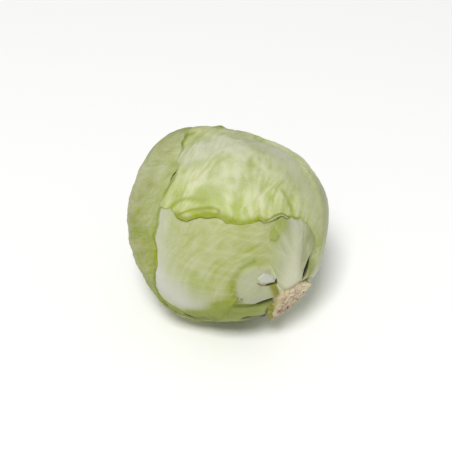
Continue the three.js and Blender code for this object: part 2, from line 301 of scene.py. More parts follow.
ribLeaf = {
    **plainLeaf,
    "name": "ribLeaf", "node": "rib_leaf", "slot": "inner_leaf", "cells": (200, 170),
    "middle": (50, -12), "base": (-34, 40), "crowd": (0, 0.3), "pressed": 0.7,
    "right": [(26, -60), (42, -74), (60, -76), (76, -66)],
    "tip": [(84, -44), (80, -24), (70, -6), (59, 10)],
    "left": [
        (22.5, 37.5), (27, 34), (31.8, 30.5), (37.5, 29), (42.7, 27.5), (47.3, 24.8), (50.5, 22.8),
        (53.8, 19), (56, 16.5),
    ],
    "midrib": [(15, 14), (20, 13.5), (25, 11), (34, 3.6), (45, -4.7), (52, -9.5), (64, -16), (76, -24)],
    "rib": {"height": 3, "width": 11, "tipWidth": 2.5, "flat": 3}, "collar": 84,
    "veins": {"angle": (35, 45), "spacing": 22},
    "relief": {"streak": 0.15, "streakSize": (9, 30), "tone": 0.5, "fold": 0, "strokes": 0.15},
    "green": "#8c955a", "pale": "#a7ab7c", "vein": "#ccccb4",
    "marks": [
        # a brown groove on the midrib, the opening beside it, and a flap on the front leaf
        (1.1, [(46, -12), (40, -10), (35, -9.3), (29, -6.5)], {"brown": 0.35, "rise": -0.2}),
        # painted shade in the opening, over brown
        (0.7, [(30, -27.5), (28, -23), (25.4, -17), (23.3, -9), (21.4, -5), (18.6, -2.5), (18.2, -7.5),
               (21.3, -16), (23.4, -21), (25.6, -24.5), (28, -26.5)],
         {"patch": True, "rise": -4.5, "brown": 1, "dark": 1.1}),
        (3.4, [(61, 14), (60, 4), (57, -1.5), (54, 2), (51.5, 9), (50.4, 15.6), (55, 18)],
         {"patch": True, "deep": 0.5, "rise": 0.4}),
        # painted shade along the flap's edge
        (1.1, [(52, 11), (50.8, 14.6), (53, 17.6)], {"deep": 0.5, "dark": 0.12, "rise": -0.4}),
        # wax, green edges, and brown where it grows from the stalk
        (5.5, [(56, -4.5), (50, -3.5)], {"chalk": 0.5, "deep": 0.15, "dark": 0.1}),
        (3, [(26, -22), (30, -21), (36, -18)], {"pale": 0.3, "chalk": 0.2}),
        (2.4, [(23.5, -5.5), (20.5, -3), (17.5, -4)], {"deep": 0.7, "dark": 0.1}),
        (2, [(24.5, -24.5), (21.7, -18), (19.4, -12.5)], {"deep": 1.3}),
        (2.6, [(19, 34), (18.4, 26), (17.4, 14), (17.4, 4)], {"brown": 0.6, "rise": -0.4}),
        (6, [(52, 19), (47, 24), (38, 28), (28, 33)], {"pale": 0.45, "deep": 0.08}),
        (7, [(46, 10), (36, 18), (28, 22)], {"chalk": 0.25}),
    ],
}
backLeaf = {
    **plainLeaf,
    "name": "backLeaf", "node": "back_leaf", "cells": (150, 130),
    "middle": (82, -97), "base": (-116, -78),
    "right": [(32, -134), (54, -146), (84, -152), (112, -150)],
    "tip": [(138, -136), (148, -96), (138, -56)],
    "left": [(34, -70), (58, -58), (88, -48), (114, -46)],
    "midrib": [(16, -97), (50, -98), (90, -98), (130, -100)],
    "green": "#9aaa5f", "pale": "#bcc392",
}
leftLeaf = {
    **plainLeaf,
    "name": "leftLeaf", "node": "left_leaf", "cells": (200, 200),
    "middle": (98, 138), "base": (164, 196), "crowd": (-0.4, 0),
    "right": [
        (34, 172), (46, 160), (53, 145), (56.5, 130), (59.5, 120.5), (64.9, 116.2), (70.9, 111.5),
        (77.6, 109), (82, 107), (85.3, 101), (87, 92), (90, 82), (95.5, 74), (99.5, 71.5),
        (101.5, 68.5), (103.4, 63.5), (107.6, 58.3), (114, 45),
    ],
    "tip": [(126, 20), (142, -6), (160, -44), (168, -130), (154, -156)],
    "left": [(46, 200), (74, 204), (104, 206), (134, 204)],
    "midrib": [(16, 180), (50, 178), (90, 166), (118, 145), (137, 112), (146, 70), (146, 30)],
    "rib": {"height": 3, "width": 8},
    "veins": {"angle": (56, 74), "spacing": 11, "bend": 0.001},
    "relief": {"streak": 0.8, "streakSize": (7, 34), "strokes": 0.6},
    "green": "#879238", "pale": "#a0a363",
    "marks": [
        # green along the edge with painted shade in the gaps under it, and paler and brown places on the
        # side
        (9, [(70, 112), (84, 104), (90, 82), (99.5, 71.5), (107.6, 58.3), (114, 45)], {"deep": 0.55}),
        (1.8, [(64, 118.5), (61.5, 120.3), (58, 123)], {"dark": 1.2, "rise": -1.2}),
        # painted shade lower down, below the edge
        (5, [(76, 116), (68, 121), (60, 128)], {"deep": 0.4, "dark": 0.35}),
        (9, [(120, 52), (112, 58), (106, 64)], {"deep": 0.6, "dark": 0.05}),
        (9, [(110, 118), (124, 104), (136, 88), (142, 66)], {"brown": 0.12, "chalk": 0.15}),
        (20, [(140, 60), (146, 20), (140, 0), (128, 24)], {"pale": 0.2, "vein": 0.35}),
        (13, [(110, 64), (120, 48), (126, 40), (133, 32)], {"pale": 0.2, "vein": 0.3}),
        (5, [(137, 28), (131, 31), (125, 33)], {"deep": 0.5, "vein": -0.25, "rise": 0.3}),
        # painted shade in a slit
        (1.2, [(81.5, 112), (79, 112.5), (76.3, 114)], {"deep": 0.8, "dark": 0.7, "rise": -1.5}),
        # painted shade low down beside the stalk
        (5, [(26, 176), (31, 169)], {"deep": 0.5, "dark": 0.8}),
    ],
}
capLeaf = {
    **plainLeaf,
    "name": "capLeaf", "node": "cap_leaf", "slot": "cap_leaf", "cells": (230, 210),
    "middle": (85, -20), "base": (-66, -8), "crowd": (0.4, 0.1),
    "right": [(34, -76), (54, -84), (80, -82), (104, -72)],
    "tip": [
        (122, -56), (138, -30), (146, -10), (141, 8), (133, 20), (126, 29), (119.5, 34), (117, 40),
        (115, 47),
    ],
    "left": [
        (16.3, -9), (18.5, -12), (21, -17.2), (23.5, -22), (26.6, -26.8), (30, -30.6), (34.4, -32.6),
        (38.8, -30), (43.6, -25.4), (48.4, -19.2), (52, -12.5), (54.3, -6.5), (56.5, -2.5),
        (58, 0.5), (61, 4.5), (62.2, 9.5), (62, 13), (65.5, 17), (67.5, 21.5), (69, 25.4),
        (71.7, 29.3), (75.7, 33), (80, 34), (85.5, 39.2), (90, 45), (92.3, 49), (96.6, 51.5),
        (100.8, 51.9), (104.6, 52), (106.4, 54), (110.7, 56),
    ],
    "midrib": [(16, -49), (40, -52), (80, -50), (120, -40)],
    "rib": {"height": 2.6, "width": 10, "tipWidth": 2.5}, "collar": 84,
    "veins": {"angle": (72, 58), "spacing": 11, "bend": -0.002, "streakAngle": (150, 84)},
    "relief": {"streakSize": (6, 20), "small": 0.5, "tone": 0.9, "strokes": 0.45},
    "green": "#a3b05c", "pale": "#c7ca9c",
    "marks": [
        # the fold, the roll and its groove at the corner, and turned edges along the front
        (2.2, [(104.6, 52), (104.4, 46.2), (102.6, 42), (99, 37.7), (94, 34)],
         {"rise": -0.4, "deep": 0.65}),
        (4.4, [(95.5, 48.6), (92, 43.5), (88, 38), (84.5, 33.5)], {"rise": 1.9, "pale": 0.1}),
        (1.3, [(97.5, 48.5), (95.5, 43.7), (92.7, 39.4), (89.7, 35.5), (86.6, 32.5), (83.6, 31.4),
               (82.4, 33)],
         {"rise": -0.4, "deep": 0.85}),
        (2.4, [(55.5, -4), (60, -6.5), (65.7, -7), (72, -6.6)], {"rise": -0.6, "deep": 0.7}),
        (2.2, [(67, 17.5), (64.5, 15)], {"rise": 1.6, "deep": 0.7}),
        (1.6, [(58, 1), (61, 5), (62.3, 9.5)], {"rise": 1.2, "pale": 0.2}),
        (3.6, [(66, 20), (72, 28), (80, 33), (86, 38), (93, 48), (98, 51)], {"deep": 0.9}),
        (3, [(139, 5), (138, 2)], {"deep": 0.7}),
        (3, [(122, 34), (119, 37), (116.5, 40)], {"rise": -0.6}),
        (4.4, [(140, -5), (137, -9), (134, -13), (134, -22), (135, -29)], {"rise": 1.7, "deep": 0.5}),
        (1.8, [(135.5, -26.5), (134.4, -30)], {"deep": 1, "dark": 0.3}),
        (1.6, [(136.6, -9.5), (133, -14.5)], {"chalk": 0.8}),
        (3.8, [(18.5, -14.5), (21, -20), (24.5, -26.5)], {"deep": 1.3, "dark": 0.1}),
        (7, [(113, 50), (108, 46)], {"deep": 0.25}),
        (13, [(22, -32), (30, -38), (40, -42), (52, -45), (66, -48)], {"deep": 0.35, "dark": 0.2}),
        (2, [(62.2, 12), (61.5, 7), (60, 3), (57.8, 0.3)], {"rise": 0.7}),
        (2, [(112.2, 53.5), (114.4, 48.3), (116.4, 42.7), (116.5, 37.6)], {"rise": 0.15}),
        # wax and paler places on top, and a crease across them
        (16, [(122, 22), (118, -2), (106, -22), (94, -32)], {"chalk": 0.42}),
        (16, [(100, 22), (92, 12), (88, 2)], {"chalk": 0.22}),
        (9, [(122, 8), (111, 3), (102, -2)], {"pale": 0.5, "chalk": 0.15}),
        (20, [(94, -32), (79, -26), (62, -32), (50, -40)], {"calm": 0.8, "chalk": 0.2}),
        (12, [(77, -21), (70, -27)], {"brown": 0.1, "chalk": 0.15}),
        (1.2, [(119, -13), (110, -18), (99, -29), (86.3, -38.7), (73, -45)], {"rise": -0.5, "deep": 0.3}),
    ],
}
leaves = [crownLeaf, lowerLeaf, frontLeaf, underLeaf, ribLeaf, backLeaf, leftLeaf, capLeaf]

edgeSteps, basePoints = 40, 5
for leaf in leaves:
    chart = leaf["chart"] = chartAt(leaf["middle"])
    baseLine = [(head["baseAngle"], around) for around in np.linspace(*leaf["base"], basePoints)]
    lines = {
        "base": baseLine,
        "right": [baseLine[0], *leaf["right"]],
        "left": [baseLine[-1], *leaf["left"]],
        "tip": [leaf["right"][-1], *leaf["tip"], leaf["left"][-1]],
    }
    edges = leaf["edges"] = {
        name: curveThrough(toChart(chart, np.array([towards(*at) for at in line])), edgeSteps)
        for name, line in lines.items()
    }
    leaf["outline"] = np.vstack(
        [edges["right"][:-1], edges["tip"][:-1], edges["left"][:0:-1], edges["base"][:0:-1]]
    )
    ribSpots = toChart(chart, np.array([towards(*at) for at in leaf["midrib"]]))
    leaf["ribLine"] = curveThrough(ribSpots, edgeSteps)

# How far the outline and the midrib are is worked out once, on a grid over each leaf's chart.
fieldStep, fieldRoom = 1.5, 36


def addFields(leaf):
    low = leaf["outline"].min(0) - fieldRoom
    counts = np.ceil((leaf["outline"].max(0) + fieldRoom - low) / fieldStep).astype(int) + 1
    grid = np.stack(np.meshgrid(*(np.arange(count) for count in counts), indexing="ij"), -1)
    spots = (low + grid * fieldStep).reshape(-1, 2)
    outside, _, _ = nearLine(np.vstack([leaf["outline"], leaf["outline"][:1]]), spots)
    outside = np.where(insideOf(leaf["outline"], spots), -outside, outside)
    ribLine = leaf["ribLine"]
    # the midrib's line goes on as far again past its end, so that the streaks beside it do too
    beyond = ribLine[-1] + np.arange(1, edgeSteps + 1)[:, None] * (ribLine[-1] - ribLine[-2])
    ribDistance, ribShare, ribSide = nearLine(np.vstack([ribLine, beyond]), spots)
    leaf["low"] = low
    leaf["fields"] = np.stack([outside, ribDistance * ribSide, 2 * ribShare], -1).reshape(*counts, 3)


def fieldsAt(leaf, spots):
    # distance outside the outline, distance to the side of the midrib, share of the way along it
    # (over 1 past its end)
    fields = leaf["fields"]
    place = np.clip((spots - leaf["low"]) / fieldStep, 0, np.array(fields.shape[:2]) - 1.001)
    i, j = place.astype(int).T
    u, v = (place - np.stack([i, j], -1)).T[:, :, None]
    near = (1 - u) * fields[i, j] + u * fields[i + 1, j]
    far = (1 - u) * fields[i, j + 1] + u * fields[i + 1, j + 1]
    return ((1 - v) * near + v * far).T


for leaf in leaves:
    addFields(leaf)
print("leaf outlines laid out:", len(leaves))

# A midrib: flat is how flat its top is, and taper how it sinks into the blade on its way.
midrib = {"height": 3.4, "width": 9, "tipWidth": 2, "flat": 4, "taper": 0.8}


def thicknessOf(leaf, directions, spots):
    # the blade, thicker towards its base, with the midrib on it; also how far on the midrib a spot is
    rib = {**midrib, **leaf["rib"]}
    outside, distance, share = fieldsAt(leaf, spots)
    away = degreesFrom(alongStalk, directions) - head["baseAngle"]
    width = rib["width"] + (rib["tipWidth"] - rib["width"]) * np.minimum(share, 1)
    onRib = np.maximum(1 - share, 0) ** rib["taper"] / (1 + np.abs(distance / width) ** rib["flat"])
    thickness = head["blade"] + head["baseThickness"] * np.exp(-away / head["baseFade"])
    return thickness + rib["height"] * onRib, outside, onRib


def layerOf(leaf, directions):
    # the room a leaf takes: its thickness, what it adds to leaves over it, how far it has settled
    # into those under it, and how surely it hides them
    spots = toChart(leaf["chart"], directions)
    thickness, outside, _ = thicknessOf(leaf, directions, spots)
    cover = 1 - smooth(outside, head["coverBeyond"], head["coverBeyond"] + head["coverSlope"])
    settled = 1 - smooth(outside, -head["settleWidth"], head["settleWidth"])
    hidden = 1 - smooth(outside, 0, head["edgeWidth"])
    return thickness, (thickness + head["gap"]) * cover, (head["blade"] + head["gap"]) * settled, hidden


def stackAt(directions, index):
    # the radius of a leaf's outer face with all that lies under it, and how far it is hidden by
    # the leaves over it; -1 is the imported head. Near the stalk each keeps to its collar, and where
    # the head rests there is only so much room above the surface.
    layers = [layerOf(leaf, directions) for leaf in leaves]
    radius = head["radius"] + swellAt(head["swells"], directions)
    radius = radius + head["ripple"] * noiseAt(directions * head["radius"], head["rippleSize"], 1)
    radius = radius - sum(layer[2] for layer in layers)
    under = radius + head["gap"] + sum(layer[1] for layer in layers[:max(index, 0)])
    above = sum(layer[1] for layer in layers[index + 1:])
    hidden = np.max([layer[3] for layer in layers[index + 1:]] + [np.zeros(len(directions))], axis=0)
    thickness = layers[index][0] if index >= 0 else 0
    collar = leaves[index]["collar"] if index >= 0 else head["collar"]
    free = smooth(degreesFrom(alongStalk, directions), head["collarFrom"], head["collarTo"])
    radius = collar + (under + thickness - collar) * free
    down = np.minimum(directions[:, 2], -1e-6)
    room = (restHeight - above * head["pressedRoom"]) / -down
    return np.minimum(radius, np.where(directions[:, 2] < 0, room, 1e9)), hidden


# Side veins leave the midrib at an angle that runs from one value at its base to another at its
# tip, wander, grow thinner and fork. Widths are those of a vein, a branch and a branch's branch.
veinSettings = {
    "spacing": 13, "spacingVaries": (0.8, 1.25), "from": 0.03, "to": 0.97,
    "angle": (62, 48), "angleVaries": 5, "bend": 0.0035,
    "step": 1.2, "mostSteps": 150, "wander": 0.012, "steady": 0.9, "turnLength": 6,
    "fade": 0.991, "faintest": 0.12, "tipFade": 0.35,
    "forkEvery": 17, "forkVaries": 0.3, "forkAngle": 26, "forkAngleVaries": (-6, 10),
    "forkStrength": 0.62, "forkBend": 0.004,
    "widths": (1.5, 1.1, 0.9), "bandWidth": 3.2,
}


def alongVeins(leaf, spots):
    # where the side vein through a spot leaves the midrib, and how far out on it the spot is
    settings = {**veinSettings, **leaf["veins"]}
    _, distance, share = fieldsAt(leaf, spots)
    low, high = settings.get("streakAngle", settings["angle"])
    angle = np.radians(low + (high - low) * np.minimum(share, 1))
    length = np.linalg.norm(np.diff(leaf["ribLine"], axis=0), axis=1).sum()
    bend = settings.get("streakBend", settings["bend"])
    start = share * length - np.abs(distance) / np.tan(angle) - bend * distance ** 2 / 2
    return np.stack([start, distance, np.zeros(len(spots))], -1)


def growVeins(leaf, dice):
    # side veins leave the midrib and fork on their way to the edge
    settings = {**veinSettings, **leaf["veins"]}
    ribLine = leaf["ribLine"]
    length = np.linalg.norm(np.diff(ribLine, axis=0), axis=1).sum()
    step, varies = settings["step"], settings["forkVaries"]
    found = [[] for _ in settings["widths"]]

    def grow(spot, heading, bend, strength, level):
        sinceFork, turn = dice.uniform(0, settings["forkEvery"]), 0
        forkSide = dice.choice((-1, 1))
        for _ in range(settings["mostSteps"]):
            turn = settings["steady"] * turn + dice.gauss(0, settings["wander"])
            heading += (bend + turn / settings["turnLength"]) * step
            spot = spot + step * np.array([math.cos(heading), math.sin(heading)])
            i, j = ((spot - leaf["low"]) / fieldStep).astype(int)
            if leaf["fields"][i, j, 0] > 0 or strength < settings["faintest"]:
                return
            strength *= settings["fade"]
            found[level].append((spot[0], spot[1], strength))
            sinceFork += step
            if sinceFork > settings["forkEvery"] and level < len(found) - 1:
                fork = math.radians(settings["forkAngle"] + dice.uniform(*settings["forkAngleVaries"]))
                forkBend = bend * 0.5 - forkSide * settings["forkBend"]
                forkStrength = strength * settings["forkStrength"]
                grow(spot, heading + forkSide * fork, forkBend, forkStrength, level + 1)
                forkSide, sinceFork = -forkSide, dice.uniform(-varies, varies) * settings["forkEvery"]

    share, side = settings["from"], 1
    low, high = settings["angle"]
    while share < settings["to"]:
        at = min(int(share * edgeSteps), edgeSteps - 1)
        ahead = ribLine[at + 1] - ribLine[at]
        varied = dice.uniform(-settings["angleVaries"], settings["angleVaries"])
        angle = math.radians(low + (high - low) * share + varied)
        heading = math.atan2(ahead[1], ahead[0]) + side * angle
        grow(ribLine[at], heading, -side * settings["bend"], 1 - settings["tipFade"] * share, 0)
        side = -side
        share += settings["spacing"] / 2 / length * dice.uniform(*settings["spacingVaries"])
    return [np.array(points) for points in found]


def veinsNear(veins, spots):
    # the ridge and the wider pale band along the veins at each spot
    ridge, band = np.zeros(len(spots)), np.zeros(len(spots))
    for level, points in enumerate(veins):
        if not len(points):
            continue
        tree = kdtree.KDTree(len(points))
        for i, (x, y, _) in enumerate(points):
            tree.insert((x, y, 0), i)
        tree.balance()
        nearest = [tree.find((x, y, 0))[1:] for x, y in spots]
        strength = points[[i for i, _ in nearest], 2]
        distance = np.array([gap for _, gap in nearest])
        width = veinSettings["widths"][level] * (0.5 + 0.7 * strength)
        ridge = np.maximum(ridge, strength * np.exp(-((distance / width) ** 2)))
        wide = veinSettings["bandWidth"] * width
        band = np.maximum(band, strength * np.exp(-((distance / wide) ** 2)))
    return ridge, band


markSteps = 24


def markAt(mark, chart, spots):
    # how much of the mark each spot has, from 0 to 1
    width, line, does = mark
    line = toChart(chart, np.array([towards(*at) for at in line]))
    if does.get("patch"):
        distance, _, _ = nearLine(np.vstack([line, line[:1]]), spots)
        outside = np.where(insideOf(line, spots), -distance, distance)
        return 1 - smooth(outside, -width, width)
    line = line if len(line) < 3 else curveThrough(line, markSteps)
    distance, _, _ = nearLine(line, spots)
    return np.exp(-((distance / width) ** 2))


def blend(edges, across, along):
    # the four edges blended into one sheet between them
    steps = np.linspace(0, 1, edgeSteps + 1)

    def on(name, part):
        return np.stack([np.interp(part, steps, edges[name][:, axis]) for axis in (0, 1)], -1)

    across1, along1 = across[:, None], along[:, None]
    sheet = (1 - across1) * on("right", along) + across1 * on("left", along)
    sheet += (1 - along1) * on("base", across) + along1 * on("tip", across)
    corners = (1 - along1) * ((1 - across1) * edges["base"][0] + across1 * edges["base"][-1])
    corners += along1 * ((1 - across1) * edges["tip"][0] + across1 * edges["tip"][-1])
    return sheet - corners


# What each tint stands for: pale flesh, deep green, waxy white, veins, brown damage, and dark, mostly
# painted shade.
tints = ("pale", "deep", "chalk", "vein", "brown", "dark")
shares = (*tints, "strokes")

# How far parts of a leaf's face rise, in millimetres, and how wide they are: ridges along the
# veins, finer ones on them, lumps, blotches of colour and the veins. Tone is how strongly the
# colour follows them, fold how strong the greener line with painted shade just inside the
# turned edge is, and ragged how far the edge wanders.
relief = {
    "streak": 0.5, "streakSize": (6, 26), "streakDepth": 9, "fineStreak": 0.8, "fineSize": 0.42,
    "small": 0.35, "smallSize": 9, "blotchSize": 17, "vein": 0.3, "ribCalm": 0.8,
    "edge": 5, "edgeFlat": 0.8,
    "ragged": 0.8, "raggedSize": 7, "tone": 1, "strokes": 0.4,
    "fold": 1, "foldIn": 1.8, "foldWidth": 0.9, "foldSize": 22,
}

# What adds to a plain leaf's tints, and by how much.
paleFrom = {"plain": 0.45, "streak": 0.7, "blotch": 0.4, "small": 0.5, "band": 0.2, "rib": 0.5}
deepFrom = {"edge": 0.3, "hollow": 0.3, "fold": 0.9}
veinFrom = {"ridge": 0.25, "rib": 0.85}
# the fold's darkening is painted shade along the turned edge
paintedShadeFrom = {"fold": 0.3}


def growSurface(leaf, index, spots, directions, inside, rib):
    # how far the outer face rises over the plain leaf, and the tints of its skin
    seed = 10 * index
    settings = {**relief, **leaf["relief"]}
    marks = [(mark[-1], markAt(mark, leaf["chart"], spots)) for mark in leaf["marks"]]
    veins = growVeins(leaf, random.Random(100 + index))
    ridge, band = veinsNear(veins, spots)
    running = alongVeins(leaf, spots)
    ground = directions * head["radius"]
    size = np.array([*settings["streakSize"], settings["streakDepth"]])
    streak = noiseAt(running, size, seed)
    streak = streak + settings["fineStreak"] * noiseAt(running, size * settings["fineSize"], seed + 1)
    blotch = noiseAt(ground, settings["blotchSize"], seed + 2)
    small = noiseAt(ground, settings["smallSize"], seed + 3)
    loose = smooth(degreesFrom(alongStalk, directions), *head["loose"])
    edge = fadeInwards(inside, settings["edge"]) * loose
    calm = 1 - settings["ribCalm"] * rib
    for does, value in marks:
        calm = calm * (1 - does.get("calm", 0) * value)
    streak, blotch, small, ridge, band = (field * calm for field in (streak, blotch, small, ridge, band))
    rise = settings["streak"] * streak + settings["small"] * small + settings["vein"] * ridge
    rise = rise * (1 - settings["edgeFlat"] * fadeInwards(inside, head["edgeWidth"]))

    # a greener line just inside the edge where it turns, with painted shade in it
    foldAt = settings["foldIn"] + 2 * small
    fold = np.exp(-(((inside - foldAt) / settings["foldWidth"]) ** 2)) * loose * settings["fold"]
    fold = fold * np.clip(0.4 + 3 * noiseAt(ground, settings["foldSize"], seed + 5), 0, 1)
    paler = paleFrom["streak"] * streak + paleFrom["blotch"] * blotch + paleFrom["small"] * small
    hollow = np.maximum(-streak - 0.5 * blotch, 0)
    tone = settings["tone"]
    values = {
        "pale": paleFrom["plain"] + tone * paler + paleFrom["band"] * band + paleFrom["rib"] * rib,
        "deep": (
            deepFrom["edge"] * edge * (1 + 2 * small) + deepFrom["hollow"] * tone * hollow
            + deepFrom["fold"] * fold
        ),
        "vein": veinFrom["ridge"] * ridge + veinFrom["rib"] * rib,
        "dark": paintedShadeFrom["fold"] * fold,
        "strokes": settings["strokes"] * calm,
    }
    for does, value in marks:
        rise = rise + does.get("rise", 0) * value
        for tint in tints:
            values[tint] = values.get(tint, 0) + does.get(tint, 0) * value
    return rise, values, running


def pointsOf(piece):
    flat = np.zeros(len(piece.data.vertices) * 3)
    piece.data.vertices.foreach_get("co", flat)
    return flat.reshape(-1, 3)


def addShares(piece, values):
    for name, value in values.items():
        attribute = piece.data.attributes.new(name, "FLOAT", "POINT")
        share = np.zeros(len(piece.data.vertices)) + value
        attribute.data.foreach_set("value", np.clip(share, 0, 1))


def addTints(piece, values, running):
    addShares(piece, {share: values.get(share, 0) for share in shares})
    attribute = piece.data.attributes.new("running", "FLOAT_VECTOR", "POINT")
    attribute.data.foreach_set("vector", (running * metres).ravel())


def makeWaves(leaf, index, spots, inside):
    # the edge of a leaf wanders, except near the stalk
    settings = {**relief, **leaf["relief"]}
    loose = smooth(degreesFrom(alongStalk, fromChart(leaf["chart"], spots)), *head["loose"])
    flatSpots = np.c_[spots, np.zeros(len(spots))]
    wave = [noiseAt(flatSpots, settings["raggedSize"], 30 * index + seed) for seed in (21, 22)]
    reach = fadeInwards(inside, settings["edge"]) * loose
    return 2 * settings["ragged"] * np.stack(wave, -1) * reach[:, None]


def addLeaf(index):
    leaf = leaves[index]
    bpy.ops.object.select_all(action="DESELECT")
    cellsAlong, cellsAcross = leaf["cells"]
    bpy.ops.mesh.primitive_grid_add(x_subdivisions=cellsAlong, y_subdivisions=cellsAcross, size=1)
    piece = bpy.context.object
    piece.name = piece.data.name = leaf["name"]
    along, across, _ = pointsOf(piece).T + 0.5
    acrossCrowd, alongCrowd = leaf["crowd"]
    across = across + acrossCrowd * (across ** 2 - across)
    along = along + alongCrowd * (along ** 2 - along)
    spots = blend(leaf["edges"], across, along)
    inside = -fieldsAt(leaf, spots)[0]
    spots = spots + makeWaves(leaf, index, spots, inside)
    directions = fromChart(leaf["chart"], spots)
    thickness, _, rib = thicknessOf(leaf, directions, spots)
    rise, values, running = growSurface(leaf, index, spots, directions, inside, rib)
    edgeBlade = head["edgeBlade"]
    slab = thickness * (edgeBlade + (1 - edgeBlade) * smooth(inside, 0, head["edgeWidth"]))
    radius, hidden = stackAt(directions, index)
    pressed = leaf["pressed"] * fadeInwards(inside, head["pressedWidth"])
    radius = radius + rise * (1 - hidden) - head["hiddenDepth"] * hidden - pressed - (thickness - slab)

    points = (directions * radius[:, None] + headMiddle) * metres
    points[:, 2] = np.maximum(points[:, 2], head["restRoom"] * metres * (len(leaves) - 1 - index))
    piece.data.vertices.foreach_set("co", points.ravel())
    addTints(piece, values, running)
    group = piece.vertex_groups.new(name="thickness")
    for i, weight in enumerate(slab / slab.max()):
        group.add([i], float(weight), "REPLACE")
    bpy.ops.object.modifier_add(type="SOLIDIFY")
    solidify = piece.modifiers[-1]
    solidify.thickness = float(slab.max()) * metres
    solidify.offset = -1
    solidify.vertex_group = "thickness"
    bpy.ops.object.modifier_apply(modifier=solidify.name)
    bpy.ops.object.shade_smooth()
    piece.vertex_groups.clear()
    finish(piece, leaf["node"])
    piece.data.materials.append(leafSkin(leaf))
    print(leaf["name"], "with", len(piece.data.polygons), "faces")


def finish(piece, node):
    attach(piece, "root")
    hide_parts(node)


def linear(hexColour):
    values = [int(hexColour[i:i + 2], 16) / 255 for i in (1, 3, 5)]
    return (*(v / 12.92 if v <= 0.04045 else ((v + 0.055) / 1.055) ** 2.4 for v in values), 1)


def addNode(tree, kind, settings, output=0):
    # a setting is a property of the node, or a value or another node's output for a socket
    node = tree.nodes.new("ShaderNode" + kind)
    for name, value in settings.items():
        if isinstance(value, bpy.types.NodeSocket):
            tree.links.new(value, node.inputs[name])
        elif isinstance(name, int) or name in node.inputs:
            node.inputs[name].default_value = value
        else:
            setattr(node, name, value)
    return node.outputs[output] if node.outputs else node


def newMaterial(name):
    material = bpy.data.materials.new(name)
    material.use_nodes = True
    material.node_tree.nodes.clear()
    return material, material.node_tree


def addSurface(tree, plant, colour, bump):
    shader = addNode(tree, "BsdfPrincipled", {
        "Base Color": colour, "Normal": bump, "Roughness": plant["roughness"], "IOR": plant["ior"],
        "Subsurface Weight": plant["throughLight"], "Subsurface Radius": plant["throughColour"],
        "Subsurface Scale": plant["throughDepth"],
    })
    addNode(tree, "OutputMaterial", {"Surface": shader})


noiseLow, noiseHigh = 0.3, 0.7  # most of a noise node's values lie between these

# Fresh leaf of a white cabbage, grown packed under a bloom of wax: satin skin, watery flesh that
# lets a little light in, cream veins, and a yellower green where it had more daylight.
skin = {
    # dark is near black: painted shade for gaps, slits and creases
    "deep": "#8c972a", "chalk": "#c5c6b9", "vein": "#ccd0ae", "brown": "#8f7738", "dark": "#161403",
    "mottle": 70, "cells": 260, "grain": 420,  # counts a metre: 14 mm patches, 4 mm net, 2 mm grain
    "hatch": (380, 120, 100),  # short strokes along the veins, 2.6 by 8 mm
    "mottled": 0.22, "netted": 0.08,  # how much paler the patches and the net make it
    "netWidth": 0.12, "netHeight": 0.5, "strokesHeight": 1.5, "bump": 0.35, "bumpDistance": 0.0005,
    "strokesRicher": -0.4, "strokesLighter": 0.12,
    "roughness": 0.5, "ior": 1.36, "throughLight": 0.12, "throughDepth": 0.0015,
    "throughColour": (0.7, 1, 0.35),
}


